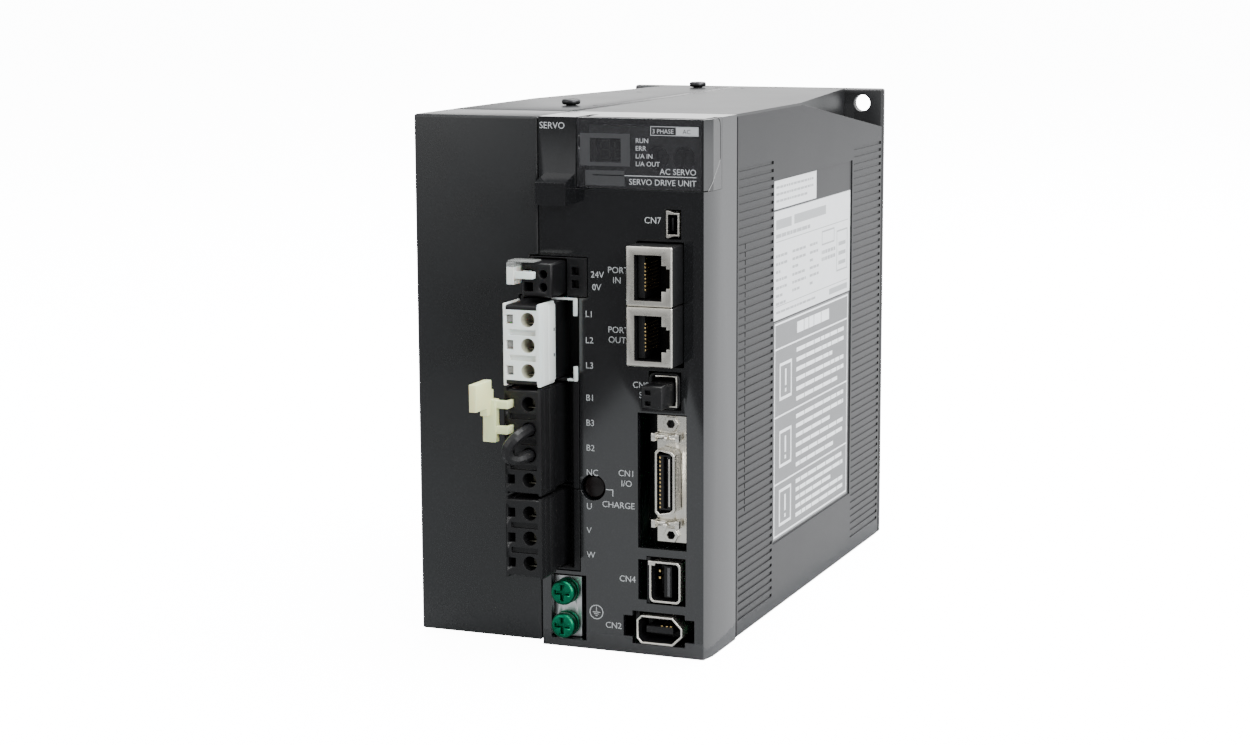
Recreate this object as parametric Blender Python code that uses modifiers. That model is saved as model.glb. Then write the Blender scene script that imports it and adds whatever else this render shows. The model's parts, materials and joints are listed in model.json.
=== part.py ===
"""A panel-mounted AC servo drive with plug-in terminals, a smoked display cover and a two-part casing.

x runs to the right of the front face, y runs back and z up. Lengths are in millimetres in the
functions, measured from the front face and the base, and become metres when a mesh is made. The
origin is the middle of the bottom of the whole assembly.
"""

from math import cos, pi, radians, sin

import bmesh
import bpy
from mathutils import Matrix, Vector

MM = 0.001
GAP = 0.3

# The casing.
WIDTH = 88.0
HEIGHT = 150.0
DEPTH = 172.0
HALF = WIDTH / 2
LEVER_REACH = 28.0
MIDDLE = (DEPTH - LEVER_REACH) / 2
PLATE = 3.0
CASE_REAR = DEPTH - PLATE - GAP
COVER_DEPTH = 24.0
CASE_FRONT = COVER_DEPTH + GAP
COVER_WALL = 2.0
CASE_WALL = 1.5
SEAM = -5.75
EDGE_X = 1.0
EDGE_Y = 5.0

# The screwdriver notches at the top rear corners, and the fixing holes behind them.
NOTCH_START = 79.0
NOTCH_WIDTH = 13.0
NOTCH_DROP = 12.5
FIXING_X = 36.8
FIXING_Z = 145.2
FIXING_RADIUS = 2.7

# The shallow recess for the labels on the right side: y, then z.
LABEL_RECESS = ((57.0, 135.0), (20.5, 129.0))
LABEL_DEPTH = 0.3

# The two pan-head screws on top of the left half.
SCREW_X = -17.0
SCREW_Y = (50.0, 158.0)
SCREW_HEAD_RADIUS = 2.8
SCREW_HEAD_TOP = 1.9
SCREW_SHANK_RADIUS = 1.5

# The hooded boss above the supply terminal.
HOOK_X = (-3.7, 5.3)
HOOK_Z = (126.2, 132.4, 134.6)
HOOK_REACH = 7.0

# The display cover and what is behind it.
PIVOT_Y = 7.8
PIVOT_Z = 147.4
LID_LEFT = 5.9
LID_BOTTOM = 130.7
LID_TOP = 149.9
LID_WALL = 1.8
LID_LIP = 2.4
FLAP_WALL = 1.5
FLAP_RADIUS = LID_TOP - PIVOT_Z
PANEL_FRONT = 3.4
PANEL_WALL = 1.4
DIAL_X = (28.2, 36.1)
DIAL_Z = 139.0
DIAL_RADIUS = 3.0
DIGIT_WINDOW = ((9.8, 18.9), (137.8, 144.4))
HINGE_PIN_RADIUS = 0.9
HINGE_HOLE_RADIUS = 1.25

# The terminal column: a row of wire holes beside a row of lever holes.
POLE_PITCH = 7.1
MAINS_ROWS = [95.4 - POLE_PITCH * n for n in range(3)]
REGEN_ROWS = [72.0 - POLE_PITCH * n for n in range(4)]
MOTOR_ROWS = [41.3 - POLE_PITCH * n for n in range(3)]
POLE_HALF = 3.9
WIRE_HOLE_X = -2.7
WIRE_HOLE_RADIUS = 2.05
LEVER_HOLE_X = -8.4
LEVER_HOLE = 2.6
PLUG_LEFT = -10.2
PLUG_RIGHT = 0.7
PLUG_REACH = 15.0
PLUG_INSERT = 6.0
WELL_LEFT = -10.6
WELL_RIGHT = 4.2
HEADER_LEFT = -11.5
HEADER_RIGHT = 5.9
HEADER_DEPTH = 14.0
WELL_DEPTH = 6.8
WIRE_RADIUS = 1.7
REGEN_LEVER_PIVOT = (-11.2, -16.6, 68.5)

# The 24 volt supply terminal.
SUPPLY_ROWS = (107.4, 103.8)
SUPPLY_LEFT = -6.9
SUPPLY_RIGHT = 2.1
SUPPLY_REACH = 9.5
SUPPLY_LOW = 100.9
SUPPLY_HIGH = 110.4
SUPPLY_HEADER_RIGHT = 8.6
SUPPLY_LEVER_PIVOT = (-7.8, -11.6, 107.4)

# The right-hand column of sockets.
NETWORK_REACH = 8.5
NETWORK_BASES = (99.75, 83.2)
NETWORK_LEFT = 23.6
NETWORK_RIGHT = 37.0
NETWORK_HEIGHT = 16.3
BRACKET_FRONT = 2.0
IO_CENTRE = 50.3
IO_SCREW_REACH = 15.7
IO_BAIL_REACH = 12.2
IO_SHELL_FRONT = -3.6
IO_SHELL_HALF = 9.4
USB_EDGE = [
    (32.3, 117.7),
    (32.9, 117.6),
    (34.6, 118.2),
    (36.1, 118.2),
    (36.1, 124.6),
    (34.6, 124.6),
    (32.9, 125.2),
    (32.3, 125.1),
]
ENCODER_FRONT = -1.2
MOTOR_ENCODER_OUTER = [
    (23.4, 4.9),
    (24.8, 3.4),
    (34.2, 3.4),
    (37.1, 6.2),
    (37.1, 8.6),
    (34.2, 11.6),
    (24.8, 11.6),
    (23.4, 10.2),
]
MOTOR_ENCODER_INNER = [
    (24.0, 5.2),
    (25.0, 4.0),
    (33.9, 4.0),
    (36.5, 6.5),
    (36.5, 8.4),
    (33.9, 11.0),
    (25.0, 11.0),
    (24.0, 9.9),
]

# The protective earth terminal.
EARTH_PLATE_FRONT = 3.0
EARTH_X = 1.1
EARTH_ROWS = (15.9, 6.3)
EARTH_HEAD_RADIUS = 3.6
EARTH_HEAD_FRONT = -2.0
EARTH_WASHER_THICKNESS = 1.0

# The charge lamp: x and z of its middle, its radius and the radius of the hole in front of it.
LAMP = (10.1, 46.7)
LAMP_RADIUS = 3.3
LAMP_HOLE_RADIUS = 3.75

# The cooling fan below the heat sink.
FAN_X = -22.9
FAN_Y = 95.0
FAN_HALF = 19.0
FAN_BORE = 17.6
FAN_HEIGHTS = (3.0, 17.0)
FAN_HUB_RADIUS = 8.0
FAN_BLADES = 7
FAN_BLADE_TILT = 38

FINISHES = {
    "black_housing": ((0.022, 0.023, 0.025), 0.32, 0.0),
    "grey_black_case": ((0.035, 0.036, 0.038), 0.42, 0.0),
    "black_plastic": ((0.010, 0.010, 0.011), 0.45, 0.0),
    "smoked_clear": ((0.045, 0.045, 0.048), 0.12, 0.0),
    "display_grey": ((0.060, 0.060, 0.062), 0.40, 0.0),
    "white_plastic": ((0.780, 0.790, 0.760), 0.45, 0.0),
    "cream_plastic": ((0.760, 0.720, 0.480), 0.45, 0.0),
    "nickel": ((0.620, 0.590, 0.520), 0.30, 1.0),
    "zinc_plate": ((0.600, 0.600, 0.590), 0.38, 1.0),
    "green_screw": ((0.010, 0.200, 0.090), 0.40, 0.0),
    "black_screw": ((0.030, 0.030, 0.030), 0.40, 1.0),
    "die_cast": ((0.300, 0.300, 0.310), 0.50, 1.0),
    "aluminium": ((0.600, 0.600, 0.620), 0.40, 1.0),
    "circuit_board": ((0.020, 0.140, 0.060), 0.45, 0.0),
    "capacitor_sleeve": ((0.020, 0.025, 0.050), 0.35, 0.0),
    "amber_tape": ((0.600, 0.380, 0.060), 0.50, 0.0),
    "lamp_lens": ((0.080, 0.020, 0.015), 0.20, 0.0),
}


def clear_scene():
    for old in list(bpy.data.objects):
        bpy.data.objects.remove(old)


def new_collection(name):
    made = bpy.data.collections.new(name)
    bpy.context.scene.collection.children.link(made)
    return made


clear_scene()
PARTS = new_collection("servo_drive")
HELPERS = new_collection("cutters")


def finish(name):
    found = bpy.data.materials.get(name)
    if found:
        return found
    made = bpy.data.materials.new(name)
    made.use_nodes = True
    colour, roughness, metallic = FINISHES[name]
    shader = made.node_tree.nodes["Principled BSDF"]
    shader.inputs["Base Color"].default_value = (*colour, 1.0)
    shader.inputs["Roughness"].default_value = roughness
    shader.inputs["Metallic"].default_value = metallic
    return made


def placed(x, y, z):
    return Vector((x, y - MIDDLE, z)) * MM


def helper(mesh, name="shape"):
    """A new object for this mesh, kept out of the render until part() makes it a sub-part."""
    obj = bpy.data.objects.new(name, mesh)
    HELPERS.objects.link(obj)
    obj.hide_render = True
    obj.display_type = "WIRE"
    return obj


def from_bmesh(bm):
    mesh = bpy.data.meshes.new("shape")
    bm.to_mesh(mesh)
    bm.free()
    return helper(mesh)


def box(x, y, z):
    """A block between the two values of each of x, y and z."""
    size = Vector((x[1] - x[0], y[1] - y[0], z[1] - z[0])) * MM
    middle = placed(sum(x) / 2, sum(y) / 2, sum(z) / 2)
    bm = bmesh.new()
    bmesh.ops.create_cube(bm, size=1, matrix=Matrix.Translation(middle) @ Matrix.Diagonal((*size, 1)))
    return from_bmesh(bm)


def rod(axis, centre, radius, span, sides=24):
    """A cylinder along axis over span; centre holds the other two values."""
    ends = [list(centre), list(centre)]
    for end, value in zip(ends, span):
        end.insert("xyz".index(axis), value)
    low, high = placed(*ends[0]), placed(*ends[1])
    turn = {"x": Matrix.Rotation(pi / 2, 4, "Y"), "y": Matrix.Rotation(-pi / 2, 4, "X"), "z": Matrix()}
    bm = bmesh.new()
    bmesh.ops.create_cone(
        bm,
        cap_ends=True,
        segments=sides,
        radius1=radius * MM,
        radius2=radius * MM,
        depth=(high - low).length,
        matrix=Matrix.Translation((low + high) / 2) @ turn[axis],
    )
    return from_bmesh(bm)


def evaluated_mesh(obj):
    graph = bpy.context.evaluated_depsgraph_get()
    mesh = bpy.data.meshes.new_from_object(obj.evaluated_get(graph))
    bm = bmesh.new()
    bm.from_mesh(mesh)
    bmesh.ops.remove_doubles(bm, verts=bm.verts, dist=1e-6)
    bmesh.ops.recalc_face_normals(bm, faces=bm.faces)
    bm.transform(obj.matrix_world)
    bm.to_mesh(mesh)
    bm.free()
    data = obj.data
    bpy.data.objects.remove(obj)
    bpy.data.curves.remove(data)
    return mesh


def curve_object(points, dimensions, cyclic):
    curve = bpy.data.curves.new("outline", "CURVE")
    curve.dimensions = dimensions
    spline = curve.splines.new("POLY")
    spline.points.add(len(points) - 1)
    spline.use_cyclic_u = cyclic
    for point, place in zip(spline.points, points):
        point.co = (*place, 1.0)
    obj = bpy.data.objects.new("outline", curve)
    HELPERS.objects.link(obj)
    return obj


def outline(axis, points, span):
    """A flat outline pushed through from one value of the axis to the other."""
    obj = curve_object([(u * MM, v * MM, 0.0) for u, v in points], "2D", True)
    obj.data.fill_mode = "BOTH"
    obj.data.extrude = (span[1] - span[0]) / 2 * MM
    columns = {
        "x": ((0, 1, 0), (0, 0, 1), (1, 0, 0)),
        "y": ((1, 0, 0), (0, 0, 1), (0, -1, 0)),
        "z": ((1, 0, 0), (0, 1, 0), (0, 0, 1)),
    }[axis]
    middle = [0.0, 0.0, 0.0]
    middle["xyz".index(axis)] = sum(span) / 2
    obj.matrix_world = Matrix.Translation(placed(*middle)) @ Matrix(columns).transposed().to_4x4()
    return helper(evaluated_mesh(obj))


def hull(points):
    bm = bmesh.new()
    for point in points:
        bm.verts.new(placed(*point))
    bmesh.ops.convex_hull(bm, input=bm.verts)
    bmesh.ops.dissolve_limit(bm, angle_limit=0.001, verts=bm.verts, edges=bm.edges)
    bmesh.ops.recalc_face_normals(bm, faces=bm.faces)
    return from_bmesh(bm)


def wire(points, radius):
    """A round wire along a smooth curve through the points, with flat ends."""
    places = [placed(*point) for point in points]
    ends = [2 * places[0] - places[1], *places, 2 * places[-1] - places[-2]]
    smooth = []
    for a, b, c, d in zip(ends, ends[1:], ends[2:], ends[3:]):
        for step in range(4):
            t = step / 4
            squared = (2 * a - 5 * b + 4 * c - d) * t**2
            cubed = (3 * b - a - 3 * c + d) * t**3
            smooth.append((2 * b + (c - a) * t + squared + cubed) / 2)
    smooth.append(places[-1])
    obj = curve_object(smooth, "3D", False)
    obj.data.bevel_depth = radius * MM
    obj.data.bevel_resolution = 2
    obj.data.use_fill_caps = True
    return helper(evaluated_mesh(obj))


def change(obj, operation, others):
    for other in others:
        modifier = obj.modifiers.new(operation.lower(), "BOOLEAN")
        modifier.operation = operation
        modifier.object = other
        modifier.solver = "EXACT"
    return obj


def cut(obj, *others):
    return change(obj, "DIFFERENCE", others)


def join(obj, *others):
    return change(obj, "UNION", others)


def soften(obj, width, segments=1):
    modifier = obj.modifiers.new("edges", "BEVEL")
    modifier.width = width * MM
    modifier.segments = segments
    modifier.limit_method = "ANGLE"
    modifier.angle_limit = radians(40)
    return obj


def part(name, look, obj, pivot=None):
    """Makes a shape a named sub-part, with its origin on its pivot where it moves."""
    HELPERS.objects.unlink(obj)
    PARTS.objects.link(obj)
    obj.name = name
    obj.hide_render = False
    obj.display_type = "TEXTURED"
    obj.data.materials.append(finish(look))
    obj.data.shade_smooth()
    obj.data.set_sharp_from_angle(angle=radians(30))
    if pivot:
        obj.location = placed(*pivot)
        obj.data.transform(Matrix.Translation(-obj.location))
    return obj


def arc(centre, radius, start, end, steps):
    """Points on an arc, in degrees, both ends included."""
    turns = [radians(start + (end - start) * n / steps) for n in range(steps + 1)]
    return [(centre[0] + radius * cos(turn), centre[1] + radius * sin(turn)) for turn in turns]


def rounded(x, z, radius, steps=3):
    """A rectangle's outline with round corners."""
    corners = ((x[1], z[0], -90), (x[1], z[1], 0), (x[0], z[1], 90), (x[0], z[0], 180))
    points = []
    for cx, cz, start in corners:
        inner = (cx - radius if cx == x[1] else cx + radius, cz - radius if cz == z[1] else cz + radius)
        points += arc(inner, radius, start, start + 90, steps)
    return points


# Casing


def back_plate():
    plate = soften(box((-HALF, HALF), (DEPTH - PLATE, DEPTH), (0, HEIGHT)), 0.5)
    through = (DEPTH - PLATE - 1, DEPTH + 1)
    for side in (-1, 1):
        x = side * FIXING_X
        foot = HEIGHT - FIXING_Z
        cut(plate, rod("y", (x, FIXING_Z), FIXING_RADIUS, through, 32))
        slot = arc((x, foot), FIXING_RADIUS, 0, 180, 12)
        cut(plate, outline("y", [(x + FIXING_RADIUS, -1), *slot, (x - FIXING_RADIUS, -1)], through))
    return part("back_plate", "die_cast", plate)


def notch(side, wall):
    """The sloping wedge cut from a top rear corner, grown inwards by wall for the cavity behind it."""
    run = (DEPTH - NOTCH_START) / (CASE_REAR - NOTCH_START)
    start = NOTCH_START - wall * 4
    edge_x, edge_z = HALF - wall * 0.4, HEIGHT - wall * 0.4
    far_x, far_z = HALF - NOTCH_WIDTH * run - wall, HEIGHT - NOTCH_DROP * run - wall
    out_x, out_z = HALF + 10, HEIGHT + 10
    points = [(x, start, z) for x in (edge_x, out_x) for z in (edge_z, out_z)]
    points += [(x, DEPTH, z) for x in (far_x, out_x) for z in (far_z, out_z)]
    return hull([(side * x, y, z) for x, y, z in points])


def case(name, side):
    """One half of the ribbed casing, open at the front, at the rear and towards the other half."""
    inner = SEAM + side * GAP / 2
    x = (inner, HALF) if side > 0 else (-HALF, inner)
    shell = soften(box(x, (CASE_FRONT, CASE_REAR), (0, HEIGHT)), 0.6)
    middle = inner - side * 5
    wall = side * (HALF - CASE_WALL)
    hollow = box(sorted((middle, wall)), (CASE_FRONT - 5, DEPTH), (CASE_WALL, HEIGHT - CASE_WALL))
    cut(hollow, notch(side, CASE_WALL))
    cut(shell, hollow, notch(side, 0))
    foot = sorted((side * (FIXING_X - 6), side * (FIXING_X + 5)))
    cut(shell, box(foot, (140, DEPTH), (-1, CASE_WALL + 1)))
    return part(name, "grey_black_case", shell)


def right_case():
    shell = case("right_case", 1)
    return cut(shell, box((HALF - LABEL_DEPTH, HALF + 1), *LABEL_RECESS))


def left_case():
    shell = case("left_case", -1)
    for n in range(6):
        y = FAN_Y + (n - 2.5) * 5.6
        cut(shell, box((FAN_X - 14, FAN_X + 14), (y - 1.4, y + 1.4), (-1, CASE_WALL + 1)))
    for n in range(4):
        z = 118 + 6 * n
        cut(shell, box((-HALF - 1, -HALF + CASE_WALL + 1), (40, 150), (z, z + 2.4)))
    for y in SCREW_Y:
        cut(shell, rod("z", (SCREW_X, y), 1.9, (HEIGHT - 5, HEIGHT + 1), 20))
    return shell


def case_screws():
    for name, y in zip(("case_screw_front", "case_screw_rear"), SCREW_Y):
        head = rod("z", (SCREW_X, y), SCREW_HEAD_RADIUS, (HEIGHT + GAP, HEIGHT + SCREW_HEAD_TOP), 24)
        soften(head, 0.6, 2)
        join(head, rod("z", (SCREW_X, y), SCREW_SHANK_RADIUS, (HEIGHT - 8, HEIGHT + 1), 16))
        for turn in range(2):
            reach = (2.0, 0.35) if turn else (0.35, 2.0)
            x = (SCREW_X - reach[0], SCREW_X + reach[0])
            cut(head, box(x, (y - reach[1], y + reach[1]), (HEIGHT + 1.0, HEIGHT + 3)))
        part(name, "black_screw", head)


def terminal_window():
    """The cutter for the slot that the terminals stand in, shared by the two front mouldings."""
    low = box((HEADER_LEFT - 0.4, HEADER_RIGHT + GAP), (-9, COVER_WALL + 1), (22.1, 100.25))
    high = box((SUPPLY_LEFT - 1.8, SUPPLY_HEADER_RIGHT + GAP), (-9, COVER_WALL + 1), (100.0, 111.5))
    return join(low, high)


def front_hook():
    """The small hooded boss that stands out above the supply terminal."""
    low, lip, high = HOOK_Z
    side = [(0.5, low), (-HOOK_REACH, low), (-HOOK_REACH, lip), (0.5, high)]
    return outline("x", side, HOOK_X)


def front_cover():
    left = SEAM + GAP / 2
    edge = [
        (left, 0),
        (HALF - EDGE_X, 0),
        (HALF, EDGE_Y),
        (HALF, COVER_DEPTH),
        (left, COVER_DEPTH),
    ]
    shell = outline("z", edge, (0, HEIGHT))
    inside = (COVER_WALL, HEIGHT - COVER_WALL)
    cut(shell, box((left - 5, HALF - COVER_WALL), (COVER_WALL, COVER_DEPTH + 5), inside))
    lid = (LID_BOTTOM - GAP, HEIGHT + 1)
    flap_back = PIVOT_Y + FLAP_RADIUS + 1.5
    cut(shell, box((LID_LEFT - GAP, HALF + 1), (-1, PANEL_FRONT - GAP), lid))
    for x in ((LID_LEFT - GAP, LID_LEFT + FLAP_WALL + 0.5), (HALF - FLAP_WALL - 0.4, HALF + 1)):
        cut(shell, box(x, (-1, flap_back), lid))
    for ear, pin in (((3.5, 5.3), (4.5, 7.2)), ((40.2, 41.8), (41.0, 43.6))):
        join(shell, box(ear, (5.1, 11.4), (144.6, HEIGHT - COVER_WALL + 0.5)))
        join(shell, rod("x", (PIVOT_Y, PIVOT_Z), HINGE_PIN_RADIUS, pin, 16))
    cut(shell, terminal_window())
    windows = [
        ((-2.9, 7.8), (2.3, 21.1)),
        ((NETWORK_LEFT - GAP, NETWORK_RIGHT + GAP), (82.0, 116.6)),
        ((26.9, 36.5), (70.1, 80.8)),
        ((23.6, 38.0), (30.6, 68.9)),
        ((26.1, 37.7), (14.8, 28.4)),
        ((23.6, 26.5), (15.8, 27.3)),
        ((21.8, 37.5), (3.0, 12.4)),
        ((19.1, 22.0), (4.9, 10.9)),
        ((37.3, 40.3), (4.5, 11.0)),
        ((31.9, 36.5), (117.3, 125.5)),
    ]
    for x, z in windows:
        cut(shell, box(x, (-1, COVER_WALL + 1), z))
    cut(shell, rod("y", LAMP, LAMP_HOLE_RADIUS, (-1, COVER_WALL + 1), 32))
    join(shell, front_hook())
    return part("front_cover", "black_housing", shell)


def left_panel():
    shell = soften(box((-HALF, SEAM - GAP / 2), (0, COVER_DEPTH), (1.0, HEIGHT)), 0.5)
    inside = (COVER_WALL + 1.0, HEIGHT - COVER_WALL)
    cut(shell, box((-HALF + COVER_WALL, SEAM + 5), (COVER_WALL, COVER_DEPTH + 5), inside))
    cut(shell, terminal_window())
    return part("left_panel", "black_housing", shell)


# Display cover, panel and dials


def lid_side():
    """The side outline of the cover's end flaps: round at the pivot, cut back below."""
    return [
        (0, LID_BOTTOM),
        (2.2, LID_BOTTOM),
        (PIVOT_Y + FLAP_RADIUS, 138.7),
        *arc((PIVOT_Y, PIVOT_Z), FLAP_RADIUS, 0, 90, 6),
        (0, LID_TOP),
    ]


def display_cover():
    low, high = LID_LEFT, HALF
    face = [(0, LID_BOTTOM), (LID_WALL, LID_BOTTOM), (LID_WALL, LID_TOP), (0, LID_TOP)]
    lid = outline("x", face, (low, high))
    join(lid, box((low, high), (LID_WALL - 0.5, LID_LIP), (148.3, LID_TOP)))
    join(lid, outline("x", lid_side(), (low, low + FLAP_WALL)))
    join(lid, outline("x", lid_side(), (high - FLAP_WALL, high)))
    for x in ((low - 1, low + 3), (high - 3, high - 0.3)):
        cut(lid, rod("x", (PIVOT_Y, PIVOT_Z), HINGE_HOLE_RADIUS, x, 16))
    corner = [
        (HALF - EDGE_X, -1),
        (HALF + 1, -1),
        (HALF + 1, EDGE_Y),
        (HALF, EDGE_Y),
        (HALF - EDGE_X, 0),
    ]
    cut(lid, outline("z", corner, (LID_BOTTOM - 5, HEIGHT + 5)))
    return part("display_cover", "smoked_clear", lid, (HALF, PIVOT_Y, PIVOT_Z))


def display_panel():
    depth = (PANEL_FRONT, PANEL_FRONT + PANEL_WALL)
    panel = box((8.1, 41.7), depth, (128.6, HEIGHT - COVER_WALL - GAP))
    through = (depth[0] - 1, depth[1] + 1)
    cut(panel, box(DIGIT_WINDOW[0], through, DIGIT_WINDOW[1]))
    for x in DIAL_X:
        cut(panel, rod("y", (x, DIAL_Z), DIAL_RADIUS + 0.4, through, 32))
    return part("display_panel", "display_grey", panel)


def display_module():
    block = soften(box((8.6, 20.1), (5.2, 11.5), (136.6, 145.6)), 0.4)
    return part("display_module", "black_plastic", block)


def dials():
    for number, x in enumerate(DIAL_X, 1):
        body = soften(box((x - 3.5, x + 3.5), (5.6, 12), (DIAL_Z - 3.5, DIAL_Z + 3.5)), 0.3)
        cut(body, rod("y", (x, DIAL_Z), 1.3, (5, 9), 16))
        part(f"dial_{number}_body", "black_plastic", body)
        rotor = rod("y", (x, DIAL_Z), DIAL_RADIUS, (3.6, 5.3), 24)
        join(rotor, rod("y", (x, DIAL_Z), 1.0, (5, 8.5), 16))
        cut(rotor, box((x - 0.45, x + 0.45), (3, 4.3), (DIAL_Z - 2.3, DIAL_Z + 2.3)))
        part(f"dial_{number}_rotor", "black_plastic", rotor, (x, PIVOT_Y, DIAL_Z))


# Terminal column


def plug(name, look, rows, pivot):
    """A pluggable terminal block with a wire hole and a lever hole for each pole."""
    z = (rows[-1] - POLE_HALF, rows[0] + POLE_HALF)
    block = soften(box((PLUG_LEFT, PLUG_RIGHT), (-PLUG_REACH, PLUG_INSERT), z), 0.4)
    for row in rows:
        cut(block, rod("y", (WIRE_HOLE_X, row), WIRE_HOLE_RADIUS, (-PLUG_REACH - 1, -5), 20))
        half = LEVER_HOLE / 2
        hole = ((LEVER_HOLE_X - half, LEVER_HOLE_X + half), (-PLUG_REACH - 1, -8), (row - half, row + half))
        cut(block, box(*hole))
    for high, low in zip(rows, rows[1:]):
        z = (high + low) / 2
        cut(block, box((LEVER_HOLE_X, -0.4), (-PLUG_REACH - 1, -PLUG_REACH + 1.2), (z - 0.8, z + 0.8)))
    return part(name, look, block, pivot)


def header(name, look, z, walls):
    """A header block with side walls, and end walls where given, that a plug slides into."""
    block = box((HEADER_LEFT, HEADER_RIGHT), (0, HEADER_DEPTH), z)
    low = z[0] + (walls[0] or -1)
    high = z[1] - (walls[1] or -1)
    cut(block, box((WELL_LEFT, WELL_RIGHT), (-1, WELL_DEPTH), (low, high)))
    return part(name, look, block)


def power_terminals():
    mains = header("mains_header", "white_plastic", (76.5, 100.0), (0.6, 0.4))
    cut(mains, box((WELL_RIGHT - 1, HEADER_RIGHT + 1), (-1, 5), (80.8, 94.9)))
    header("regen_header", "black_plastic", (46.0, 76.2), (0, 0))
    header("motor_header", "black_plastic", (22.4, 45.7), (0.6, 0))
    plug("mains_plug", "white_plastic", MAINS_ROWS, (0, 0, MAINS_ROWS[1]))
    plug("regen_plug", "black_plastic", REGEN_ROWS, (0, 0, REGEN_ROWS[1]))
    plug("motor_plug", "black_plastic", MOTOR_ROWS, (0, 0, MOTOR_ROWS[1]))


def jumper_wire():
    upper, lower = REGEN_ROWS[1], REGEN_ROWS[2]
    route = [
        (WIRE_HOLE_X, -9, upper),
        (WIRE_HOLE_X, -13, upper),
        (WIRE_HOLE_X, -17, upper),
        (-3.9, -20.5, upper - 1.2),
        (-5.8, -21.8, upper - 3.7),
        (-6.2, -21.2, lower + 0.6),
        (-4.8, -19.4, lower - 0.6),
        (WIRE_HOLE_X - 0.3, -16.6, lower - 0.1),
        (WIRE_HOLE_X, -13, lower),
        (WIRE_HOLE_X, -9, lower),
    ]
    part("jumper_wire", "black_plastic", wire(route, WIRE_RADIUS))


def regen_lever():
    """The operating lever, pushed into the first two lever holes of the braking-resistor plug."""
    top, bottom = REGEN_ROWS[0], REGEN_ROWS[1]
    lever = box((-14.8, -10.9), (-19.0, -16.4), (bottom - 3.4, top + 1.4))
    for row in (top, bottom):
        join(lever, box((-11.5, -7.4), (-18.4, -16.6), (row - 1.1, row + 1.1)))
        join(lever, box((-8.5, -7.4), (-17.0, -13.4), (row - 1.1, row + 1.1)))
    join(lever, box((-14.6, -12.4), (-LEVER_REACH, -18.0), (top - 0.8, top + 6.8)))
    join(lever, box((-14.6, -12.4), (-21.0, -16.8), (top - 3.0, top + 4.0)))
    return part("regen_lever", "cream_plastic", lever, REGEN_LEVER_PIVOT)


def supply_terminal():
    block = box((SUPPLY_LEFT - 1.5, SUPPLY_HEADER_RIGHT), (0, HEADER_DEPTH), (100.3, 111.2))
    cut(block, box((SUPPLY_LEFT - 0.4, SUPPLY_RIGHT + 0.5), (-1, WELL_DEPTH), (99.0, SUPPLY_HIGH + 0.4)))
    for row in SUPPLY_ROWS:
        cut(block, box((4.0, 6.2), (-1, 3), (row - 1.1, row + 1.1)))
    part("supply_header", "black_plastic", block)
    front = (-SUPPLY_REACH - 1, -4)
    body = soften(box((SUPPLY_LEFT, SUPPLY_RIGHT), (-SUPPLY_REACH, 5), (SUPPLY_LOW, SUPPLY_HIGH)), 0.4)
    for row in SUPPLY_ROWS:
        cut(body, rod("y", (-0.4, row), 1.2, front, 16))
        cut(body, box((-6.1, -3.5), front, (row - 1.2, row + 1.2)))
    part("supply_plug", "black_plastic", body, (0, 0, 105.6))
    row = SUPPLY_ROWS[0]
    lever = box((-9.6, -7.3), (-13.6, -7.6), (104.7, 110.9))
    join(lever, box((-8.0, -1.6), (-13.3, -11.6), (row - 1.0, row + 1.0)))
    join(lever, box((-5.1, -4.2), (-12.0, -7.8), (row - 0.9, row + 0.9)))
    part("supply_lever", "cream_plastic", lever, SUPPLY_LEVER_PIVOT)


# Sockets on the control side


def network_sockets():
    """Two shielded eight-way modular jacks, latch side to the right."""
    for name, base in zip(("in", "out"), NETWORK_BASES):
        x = (NETWORK_LEFT, NETWORK_RIGHT)
        shell = soften(box(x, (-NETWORK_REACH, 12), (base, base + NETWORK_HEIGHT)), 0.3)
        middle = base + 7.8
        for right, half in ((34.0, 6.25), (35.4, 3.5), (36.4, 2.65)):
            cut(shell, box((26.0, right), (-NETWORK_REACH - 1, 6), (middle - half, middle + half)))
        part(f"network_{name}_shield", "nickel", shell)
        lining = box((26.3, 28.2), (-NETWORK_REACH + 2.5, 5.7), (middle - 5.9, middle + 5.9))
        part(f"network_{name}_contacts", "black_plastic", lining)


def usb_socket():
    shell = outline("y", USB_EDGE, (-0.6, 9))
    cut(shell, box((32.8, 35.6), (-2, 6), (118.7, 124.1)))
    return part("usb_socket", "nickel", shell)


def safety_socket():
    frame = outline("y", rounded((27.2, 36.2), (70.4, 80.5), 1.8), (-0.6, 12))
    cut(frame, outline("y", rounded((28.0, 35.4), (71.2, 79.8), 1.2), (-2, 8)))
    part("safety_socket", "black_plastic", frame)
    block = soften(box((28.4, 34.6), (-10.0, 7.5), (71.6, 78.2)), 0.4)
    for z in (73.4, 76.4):
        cut(block, box((29.6, 31.2), (-11, -8), (z - 0.6, z + 0.6)))
    part("safety_plug", "black_plastic", block, (31.5, 0, 75))


def d_outline(x, z, slope):
    """A D-shell outline: the left side is the long one, and the ends slope towards the right."""
    return [
        (x[0], z[0] + 0.8),
        (x[0] + 0.8, z[0]),
        (x[1] - 0.9, z[0] + slope),
        (x[1], z[0] + slope + 0.9),
        (x[1], z[1] - slope - 0.9),
        (x[1] - 0.9, z[1] - slope),
        (x[0] + 0.8, z[1]),
        (x[0], z[1] - 0.8),
    ]


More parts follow.
